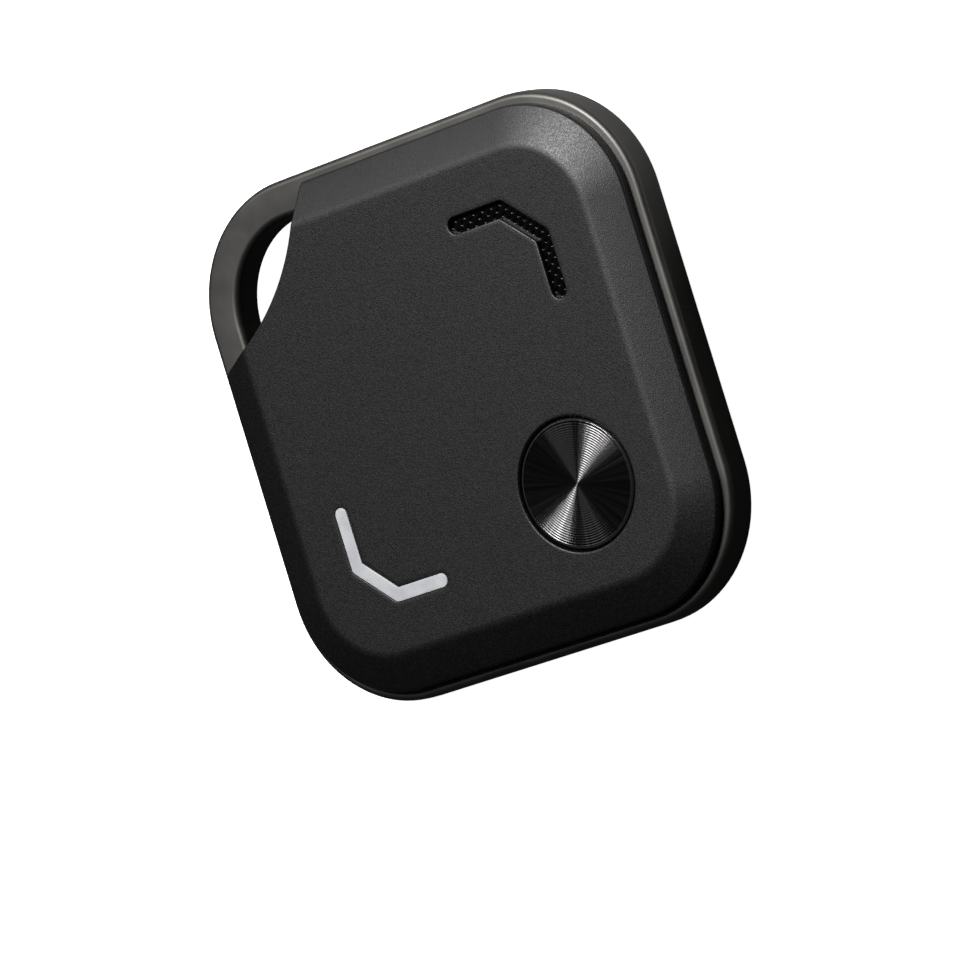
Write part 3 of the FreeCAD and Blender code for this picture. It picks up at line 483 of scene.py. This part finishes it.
def make_back_cover():
    """The back shell: bevelled back, lip, and the stepped opening for the door.

    It is made as the front shell is, from the back's flat out over the bevel, up the side
    and in over the lip. The door's opening is a seat, then a neck with a notch for each tab.
    """
    lip_top = SEAL_LOW[2]
    rim = FRAME_LOW[2]
    bevel_width, bevel_drop = BACK_BEVEL
    flat = BACK_HALF - bevel_width
    outside = rounded([(flat - COVER_FLAT, FLOOR), (flat, FLOOR),
                       (BACK_HALF, FLOOR + bevel_drop), (BACK_HALF, rim), (LIP_HALF, rim),
                       (LIP_HALF, lip_top)],
                      [BACK_FACE_ROUND, COVER_SIDE_ROUND, COVER_LIP_ROUND, 0], steps=8)
    inside = [(CAVITY_HALF, lip_top), (CAVITY_HALF, BACK_WALL)]
    profile = np.vstack([[(flat - COVER_FLAT - GUARD, FLOOR)], outside, inside])
    cut = LOOP_RADIUS + loop_edge(profile[:, 1], FLOOR)
    cut[0] += GUARD
    cut[-2:] = LOOP_RADIUS + LOOP_WALL
    corner = np.full(len(profile), LOOP_MEETING_ROUND)
    rows = raised(cover_rows(profile[:, 0], cut, corner), profile[:, 1])
    shell = Shell()
    shell.band(rows)

    seat_radius = DOOR_RADIUS + DOOR_GAP
    ledge = DOOR_SEAT
    edge = DOOR_SEAT_ROUND
    path = rounded([(seat_radius + 2 * edge, FLOOR), (seat_radius, FLOOR), (seat_radius, ledge),
                    (seat_radius - GUARD, ledge)], [edge, 0], steps=4)
    seat = round_rows(path, DOOR_CENTRE, DOOR_STEPS)[:, ::-1]
    shell.band(seat)
    neck = notched_loop(NECK_RADIUS + DOOR_GAP, TAB_RADIUS + DOOR_GAP)
    walls = np.stack([np.column_stack([neck, np.full(len(neck), height)])
                      for height in (ledge, BACK_WALL)])
    shell.band(walls[:, ::-1])
    shell.flat([rows[0], seat[0]], up=False)
    shell.flat([seat[-1], walls[0]], up=False)
    shell.flat([rows[-1], walls[-1]], up=True)
    for index in range(TAB_COUNT):
        start = FIRST_TAB + index * 360 / TAB_COUNT + TAB_ANGLE / 2 + STOP_SLACK
        add_sector(shell, (NECK_RADIUS + 2 * DOOR_GAP, TAB_RADIUS), (BACK_WALL, DOOR_HIGH[2]),
                   start, STOP_ANGLE, DOOR_CENTRE)
    return shell.build("back_shell")


def notched_loop(inner, outer):
    """A circle that steps out to a larger one where each tab passes, anticlockwise."""
    angles = []
    radii = []
    half_notch = TAB_ANGLE / 2 + TAB_SLACK
    for index in range(TAB_COUNT):
        middle = FIRST_TAB - DOOR_TURN + index * 360 / TAB_COUNT
        notch = np.linspace(middle - half_notch, middle + half_notch, 13)
        rest = np.linspace(middle + half_notch, middle + 360 / TAB_COUNT - half_notch, 33)
        angles += [notch, rest]
        radii += [np.full(len(notch), outer), np.full(len(rest), inner)]
    angle = np.radians(np.concatenate(angles))
    radius = np.concatenate(radii)
    return np.column_stack([DOOR_CENTRE[0] + radius * np.cos(angle),
                            DOOR_CENTRE[1] + radius * np.sin(angle)])


def make_battery_door():
    """The round door: flange, neck, rim and tabs, with a coin slot across its face."""
    floor = DOOR_LOW[2]
    inside = PAD_LOW[2]
    flange = DOOR_FLANGE
    edge = OPENING_ROUND
    rim_inner = DOOR_RIM_INNER
    small = DOOR_SMALL_ROUND
    path = rounded([(DOOR_RADIUS - DOOR_FLAT, floor), (DOOR_RADIUS, floor), (DOOR_RADIUS, flange),
                    (NECK_RADIUS, flange), (NECK_RADIUS, DOOR_HIGH[2]), (rim_inner, DOOR_HIGH[2]),
                    (rim_inner, inside), (rim_inner - DOOR_FLAT, inside)],
                   [edge, small, 0, small, small, 0], steps=4)
    rows = round_rows(path, DOOR_CENTRE, DOOR_STEPS)
    shell = Shell()
    shell.band(rows)
    shell.cap(rows[-1], up=True)
    half = COIN_SLOT_HALF
    bottom = floor + COIN_SLOT_DEPTH
    slot_path = rounded([(half + 2 * edge, floor), (half, floor), (half, bottom),
                         (half - 2 * edge, bottom)], [edge, COIN_SLOT_FOOT_ROUND], steps=4)
    slot = stadium_rows(slot_path, COIN_SLOT_LENGTH, DOOR_CENTRE)[:, ::-1]
    shell.band(slot)
    shell.flat([slot[-1]], up=False)
    shell.flat([rows[0], slot[0]], up=False)
    for index in range(TAB_COUNT):
        first = FIRST_TAB - TAB_ANGLE / 2 + index * 360 / TAB_COUNT
        add_sector(shell, (NECK_RADIUS - DOOR_GAP, TAB_RADIUS), (inside, DOOR_HIGH[2]), first,
                   TAB_ANGLE, DOOR_CENTRE)
    return shell.build("door_plate")


def make_button():
    """The turned disc: a shallow dish with fine round grooves and a bright chamfered rim.

    With r the share of the way out to the face's edge, the face is below the rim by DISH
    times (1 - r squared), and by GROOVE_DEPTH times half of (1 - a cosine that makes
    GROOVE_COUNT turns from the middle to the edge).
    """
    chamfer = BUTTON_CHAMFER
    face = BUTTON_RADIUS - chamfer - BUTTON_LAND
    radius = np.linspace(face, BUTTON_STEP, GROOVE_COUNT * 8 + 1)
    wave = (1 - np.cos(2 * math.pi * radius / face * GROOVE_COUNT)) / 2
    height = DISC_HIGH[2] - DISH * (1 - (radius / face) ** 2) - GROOVE_DEPTH * wave
    rim = rounded([(BUTTON_RADIUS - BUTTON_UNDERSIDE, DISC_LOW[2]), (BUTTON_RADIUS, DISC_LOW[2]),
                   (BUTTON_RADIUS, DISC_HIGH[2] - chamfer),
                   (BUTTON_RADIUS - chamfer, DISC_HIGH[2]), (face + BUTTON_STEP, DISC_HIGH[2])],
                  [BUTTON_FOOT_ROUND, BUTTON_EDGE_ROUND, BUTTON_EDGE_ROUND], steps=3)
    path = np.vstack([rim, np.column_stack([radius, height])])
    rows = round_rows(path, BUTTON_CENTRE, steps=256)
    shell = Shell()
    shell.band(rows)
    shell.cap(rows[0], up=False)
    shell.cap(rows[-1], up=True)
    return shell.build("button_face", sharp_angle=60)


def make_mesh():
    """The black speaker mesh: a bracket-shaped plate with staggered holes, backed with cloth.

    The holes stand on a square grid and on the middles of its squares, wherever the sound
    slot's middle line is near enough.
    """
    low, high = MESH_LOW[2], MESH_HIGH[2]
    cloth = low + MESH_CLOTH
    half = MESH_SEAT_HALF - MESH_GAP
    rim = bracket_rows([(half, low), (half, high)], 1)
    reach = int(BRACKET_OFFSET / MESH_PITCH) + 3
    spots = np.array([(column_index, row_index) for row_index in range(reach)
                      for column_index in range(reach)], float)
    spots = np.vstack([spots, spots + 0.5]) * MESH_PITCH + (BRACKET_OFFSET % MESH_PITCH)
    keep = bracket_distance(spots) < MESH_HOLE_REACH
    hole = rounded([(MESH_HOLE_RADIUS + 2 * MESH_HOLE_ROUND, high), (MESH_HOLE_RADIUS, high),
                    (MESH_HOLE_RADIUS, cloth)], [MESH_HOLE_ROUND], steps=4)
    holes = [round_rows(hole, spot, steps=16) for spot in spots[keep]]
    shell = Shell()
    shell.band(rim)
    for hole in holes:
        shell.band(hole)
        shell.cap(hole[-1], up=True)
    shell.flat([rim[-1]] + [hole[0] for hole in holes], up=True)
    shell.flat([rim[0]], up=False)
    return shell.build("mesh_plate")


def bracket_distance(spots):
    """How far each spot is from the sound slot's middle line."""
    far, near, end = BRACKET_OFFSET, BRACKET_NEAR, BRACKET_END
    line = np.array([(end, far), (near, far), (far, near), (far, end)])
    distance = np.full(len(spots), np.inf)
    for start, stop in zip(line[:-1], line[1:]):
        run = stop - start
        share = np.clip((spots - start) @ run / (run @ run), 0, 1)[:, None]
        distance = np.minimum(distance, np.linalg.norm(spots - start - share * run, axis=1))
    return distance


def make_light_guide():
    """The translucent bracket: its flush face with soft edges, flange, and two legs."""
    low, high = GUIDE_LOW[2], GUIDE_HIGH[2]
    flange_low = CEILING - GUIDE_FLANGE
    path = rounded([(GUIDE_FLANGE_HALF, flange_low), (GUIDE_FLANGE_HALF, CEILING),
                    (GUIDE_HALF, CEILING), (GUIDE_HALF, high), (GUIDE_HALF - GUIDE_FLAT, high)],
                   [0, 0, GUIDE_FACE_ROUND], steps=4)
    rows = bracket_rows(path, -1)
    shell = Shell()
    shell.band(rows)
    shell.flat([rows[-1]], up=True)
    legs = [round_rows([(GUIDE_LEG_RADIUS, low), (GUIDE_LEG_RADIUS, flange_low)], spot, steps=32)
            for spot in ((-BRACKET_OFFSET, -BRACKET_NEAR), (-BRACKET_NEAR, -BRACKET_OFFSET))]
    for leg in legs:
        shell.band(leg)
        shell.cap(leg[0], up=False)
    shell.flat([rows[0]] + [leg[-1] for leg in legs], up=False)
    return shell.build("light_window")


# ======================================================================= materials
class Wire:
    """One value in a material. Sums and products of wires add Math nodes."""

    def __init__(self, look, socket):
        self.look = look
        self.socket = socket

    def math(self, operation, *others):
        values = dict(enumerate((self, *others)))
        return self.look.add("ShaderNodeMath", {"operation": operation}, values)

    def __add__(self, other):
        return self.math("ADD", other)

    def __sub__(self, other):
        return self.math("SUBTRACT", other)

    def __mul__(self, other):
        return self.math("MULTIPLY", other)

    def __rsub__(self, other):
        return (self * -1) + other

    __radd__ = __add__
    __rmul__ = __mul__

    def steps(self, low, high, start=0.0, end=1.0):
        """Spreads low..high smoothly over start..end, and holds it beyond."""
        return self.look.add("ShaderNodeMapRange", {"interpolation_type": "SMOOTHSTEP"},
                             {"Value": self, "From Min": low, "From Max": high,
                              "To Min": start, "To Max": end})


class Look:
    """One material. Constants go straight to the shader's own sockets."""

    def __init__(self, name, colour, roughness, metallic=0.0, **constants):
        self.material = bpy.data.materials.new(name)
        self.material.use_nodes = True
        self.tree = self.material.node_tree
        self.shader = self.tree.nodes["Principled BSDF"]
        self.set({"Base Color": (*colour, 1.0), "Roughness": roughness, "Metallic": metallic})
        self.set({key.replace("_", " "): value for key, value in constants.items()})
        self.place = self.add("ShaderNodeTexCoord", {}, {}, "Object")

    def set(self, values):
        self.fill(self.shader, values)

    def fill(self, node, values):
        for key, value in values.items():
            socket = node.inputs[key]
            if isinstance(value, Wire):
                self.tree.links.new(value.socket, socket)
            else:
                socket.default_value = value

    def add(self, kind, settings, values, output=0):
        """Adds a node: its settings first, then the values or links of its sockets."""
        node = self.tree.nodes.new(kind)
        for key, value in settings.items():
            setattr(node, key, value)
        self.fill(node, values)
        return Wire(self, node.outputs[output])

    def noise(self, size, detail=2.0):
        """Soft noise whose lumps are about the given size."""
        return self.add("ShaderNodeTexNoise", {}, {"Vector": self.place, "Scale": 1 / size,
                                                   "Detail": detail, "Roughness": 0.5})

    def grains(self, size):
        """How far the nearest grain's middle is, as a share of the given size."""
        return self.add("ShaderNodeTexVoronoi", {"feature": "F1"},
                        {"Vector": self.place, "Scale": 1 / size})

    def grain_values(self, size):
        """A value of its own, from 0 to 1, for each grain of the given size."""
        return self.add("ShaderNodeTexVoronoi", {"feature": "F1"},
                        {"Vector": self.place, "Scale": 1 / size}, "Color")

    def blend(self, share, first, second):
        """A colour between two others."""
        first, second = (colour if isinstance(colour, Wire) else (*colour, 1.0)
                         for colour in (first, second))
        return self.add("ShaderNodeMix", {"data_type": "RGBA"}, {0: share, 6: first, 7: second}, 2)

    def bump(self, height, depth):
        """Turns a 0 to 1 height into a surface normal, with its depth in metres."""
        return self.add("ShaderNodeBump", {}, {"Height": height, "Distance": depth, "Strength": 1.0})


def blasted_plastic(name, colour):
    """Fine sandblasted black plastic: tiny grains, each with a gloss of its own."""
    look = Look(name, colour, 0.5)
    coarse = look.noise(0.06 * MM)
    grain = look.grains(PLASTIC_GRAIN)
    gloss = look.grain_values(PLASTIC_GRAIN)
    patch = look.noise(2.2 * MM)
    look.set({
        "Base Color": look.blend(patch.steps(0.35, 0.65), colour, tuple(c * 1.25 for c in colour)),
        "Roughness": gloss.steps(0.2, 0.8, 0.38, 0.5),
        "Normal": look.bump(coarse * 0.5 + grain * 0.5, 0.015 * MM),
    })
    return look.material


def satin_metal(name, colour):
    """Smooth gunmetal with a soft satin gloss and the faintest unevenness."""
    look = Look(name, colour, 0.34, 1.0)
    fine = look.noise(0.12 * MM)
    patch = look.noise(3.0 * MM, detail=3.0)
    look.set({
        "Base Color": look.blend(patch.steps(0.3, 0.7), colour, tuple(c * 1.12 for c in colour)),
        "Roughness": patch.steps(0.3, 0.7, 0.43, 0.48),
        "Normal": look.bump(fine, 0.0012 * MM),
    })
    return look.material


def turned_metal(name):
    """Black anodised disc: streaks that run out from its middle, and a bright rim."""
    look = Look(name, DISC_COLOUR, 0.15, 0.94)
    away = look.add("ShaderNodeVectorMath", {"operation": "SUBTRACT"},
                    {0: look.place, 1: (*BUTTON_CENTRE, 0.0)})
    flat = look.add("ShaderNodeVectorMath", {"operation": "MULTIPLY"},
                    {0: away, 1: (1.0, 1.0, 0.0)})
    reach = look.add("ShaderNodeVectorMath", {"operation": "LENGTH"}, {0: flat}, "Value")
    heading = look.add("ShaderNodeVectorMath", {"operation": "NORMALIZE"}, {0: flat})
    streak = look.add("ShaderNodeTexNoise", {}, {"Vector": heading, "Scale": 9.0, "Detail": 6.0,
                                                 "Roughness": 0.8})
    rim = reach.steps(*(BUTTON_RADIUS - inset for inset in DISC_RIM_FADE))
    share = streak.steps(0.35, 0.7)
    dark, light = (tuple(shade * value for value in DISC_COLOUR) for shade in (0.55, 1.45))
    look.set({
        "Base Color": look.blend(rim, look.blend(share, dark, light), DISC_RIM_COLOUR),
        "Roughness": share.math("MULTIPLY_ADD", 0.08, 0.12),
    })
    return look.material


def plain(name, colour, roughness, metallic=0.0, grain=0.2 * MM, depth=0.004 * MM, **constants):
    """A moulded, stamped or fired finish: slight mottling, and a fine uneven surface."""
    look = Look(name, colour, roughness, metallic, **constants)
    patch = look.noise(grain * 8, detail=3.0)
    fine = look.noise(grain)
    look.set({
        "Base Color": look.blend(patch.steps(0.3, 0.7), tuple(c * 0.9 for c in colour),
                                 tuple(min(1.0, c * 1.1) for c in colour)),
        "Roughness": patch.steps(0.3, 0.7, roughness * 0.92, min(1.0, roughness * 1.08)),
        "Normal": look.bump(fine, depth),
    })
    return look.material


def give(piece, material):
    """Puts one material in all of a piece's slots, or in a first slot where it has none."""
    if not piece.material_slots:
        piece.data.materials.append(material)
    for slot in piece.material_slots:
        slot.material = material


# ==================================================================== putting it together
PIECES = (
    # maker, body, CAD node it stands for, slot, material
    (make_frame, "case", "frame", "gunmetal", satin_metal("gunmetal_satin", GUNMETAL)),
    (make_front_cover, "case", "front_cover", "front_shell", blasted_plastic("front_black", BLACK)),
    (make_back_cover, "case", "back_cover", "back_shell", blasted_plastic("back_black", BLACK)),
    (make_battery_door, "door", "battery_door", "back_shell", blasted_plastic("door_black", BLACK)),
    (make_button, "button", "button_disc", "turned_black", turned_metal("turned_black_metal")),
    (make_mesh, "case", "speaker_mesh", "mesh_black",
     plain("mesh_paint", BLACK, 0.18, Specular_IOR_Level=0.3)),
    (make_light_guide, "case", "light_guide", "light_window",
     plain("window_resin", WINDOW_COLOUR, 0.38)),
)

INNER_FINISHES = {
    "rubber": (plain("inner_rubber", (0.02, 0.02, 0.022), 0.75),
               ("cover_seal", "door_seal", "button_seal")),
    "foam": (plain("inner_foam", (0.045, 0.045, 0.05), 0.95, depth=0.03 * MM),
             ("battery_pad", "mesh_gasket", "sounder_ring")),
    "cell": (plain("cell_nickel", (0.62, 0.61, 0.58), 0.28, 1.0), ("coin_cell",)),
    "dark plastic": (plain("inner_plastic_dark", (0.03, 0.03, 0.032), 0.5),
                     ("chassis", "button_plunger")),
    "white plastic": (plain("inner_plastic_white", (0.65, 0.65, 0.6), 0.45),
                      ("switch_base", "antenna")),
    "board": (plain("board_mask", (0.012, 0.075, 0.035), 0.3, grain=0.5 * MM), ("circuit_board",)),
    "steel": (plain("zinc_steel", (0.42, 0.42, 0.43), 0.35, 1.0), ("chassis_screws",)),
    "stamped": (plain("stamped_steel", (0.52, 0.52, 0.5), 0.3, 1.0), ("switch_dome", "switch_cover")),
    "contact": (plain("contact_gold", (0.75, 0.6, 0.3), 0.3, 1.0),
                ("negative_contact", "positive_contact", "sounder_pins")),
    "brass": (plain("sounder_brass_sheet", (0.68, 0.5, 0.2), 0.32, 1.0), ("sounder_disc",)),
    "ceramic": (plain("silvered_ceramic", (0.66, 0.65, 0.6), 0.5), ("sounder_ceramic",)),
    "chip": (plain("chip_epoxy", (0.022, 0.022, 0.022), 0.55),
             ("radio_chip", "sounder_coil", "resistors")),
    "can": (plain("crystal_plating", (0.66, 0.66, 0.66), 0.22, 1.0), ("radio_crystal",)),
    "led": (plain("led_resin", (0.8, 0.78, 0.62), 0.2), ("indicator_leds",)),
    "capacitor": (plain("capacitor_ceramic", (0.32, 0.22, 0.13), 0.4), ("capacitors",)),
}


def finish_inner_nodes():
    """Gives each inner CAD node its material, through the slots that it came with."""
    for material, nodes in INNER_FINISHES.values():
        for name in nodes:
            give(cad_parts[name], material)


def make_camera():
    """A long lens, high on the tag's right, rolled so that the tag stands on a corner."""
    azimuth, elevation, roll = map(math.radians, (VIEW_AZIMUTH, VIEW_ELEVATION, VIEW_ROLL))
    toward = Vector((math.cos(elevation) * math.cos(azimuth),
                     math.cos(elevation) * math.sin(azimuth), math.sin(elevation)))
    level = Vector((-math.sin(azimuth), math.cos(azimuth), 0))
    right = level * math.cos(roll) + toward.cross(level) * math.sin(roll)
    up = toward.cross(right)
    data = bpy.data.cameras.new("camera")
    data.lens = LENS
    data.sensor_width = 36
    data.clip_start = 0.01
    camera = bpy.data.objects.new("camera", data)
    turn = Matrix((right, up, toward)).transposed().to_4x4()
    spot = toward * VIEW_DISTANCE + right * VIEW_RIGHT + up * VIEW_UP + Vector((0, 0, TOP))
    camera.matrix_world = Matrix.Translation(spot) @ turn
    bpy.context.scene.collection.objects.link(camera)
    bpy.context.scene.camera = camera


def add_light(name, toward, distance, size, power):
    """A soft square light that faces the tag."""
    data = bpy.data.lights.new(name, "AREA")
    data.shape = "RECTANGLE"
    data.size, data.size_y = size
    data.energy = power
    light = bpy.data.objects.new(name, data)
    spot = Vector(toward).normalized() * distance
    light.matrix_world = Matrix.Translation(spot) @ spot.to_track_quat("Z", "Y").to_matrix().to_4x4()
    bpy.context.scene.collection.objects.link(light)


def make_sheet(name, reach, height):
    """A flat square under the tag, facing up."""
    shell = Shell()
    corners = ((-reach, -reach), (reach, -reach), (reach, reach), (-reach, reach))
    shell.add([(x, y, height) for x, y in corners], [[0, 1, 2, 3]])
    return shell.build(name)


def make_glow_card():
    """A card under the tag that only reflections see: dim, but bright further uphill."""
    card = make_sheet("glow_card", CARD_REACH, FLOOR - CARD_GAP)
    look = Look("glow_card", (0.0, 0.0, 0.0), 1.0, Emission_Strength=1.0)
    uphill = look.add("ShaderNodeVectorMath", {"operation": "DOT_PRODUCT"},
                      {0: look.place, 1: CARD_UPHILL}, "Value")
    share = uphill.steps(CARD_NEAR, CARD_FAR)
    look.set({"Emission Color": look.blend(share, CARD_DIM, CARD_BRIGHT)})
    give(card, look.material)
    card.visible_camera = False
    card.visible_diffuse = False
    card.visible_shadow = False


def make_studio():
    """A plain pale floor, a key light beyond the tag's top edge, weak fills, a dark surround."""
    floor = make_sheet("floor", FLOOR_REACH, FLOOR - FLOOR_GAP)
    look = Look("floor_white", (0.85, 0.85, 0.85), 1.0, Emission_Color=(1, 1, 1, 1),
                Emission_Strength=1.0)
    give(floor, look.material)
    floor.visible_glossy = False
    make_glow_card()
    for light in LIGHTS:
        add_light(*light)
    world = bpy.data.worlds.new("studio")
    world.use_nodes = True
    background = world.node_tree.nodes["Background"]
    background.inputs["Color"].default_value = (SURROUND_GREY, SURROUND_GREY, SURROUND_GREY, 1)
    background.inputs["Strength"].default_value = SURROUND_STRENGTH
    bpy.context.scene.world = world
    bpy.context.scene.view_settings.view_transform = "Standard"


make_camera()
for maker, body, node, slot, material in PIECES:
    piece = maker()
    give(piece, material)
    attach(piece, body)
    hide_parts(node)
finish_inner_nodes()
make_studio()
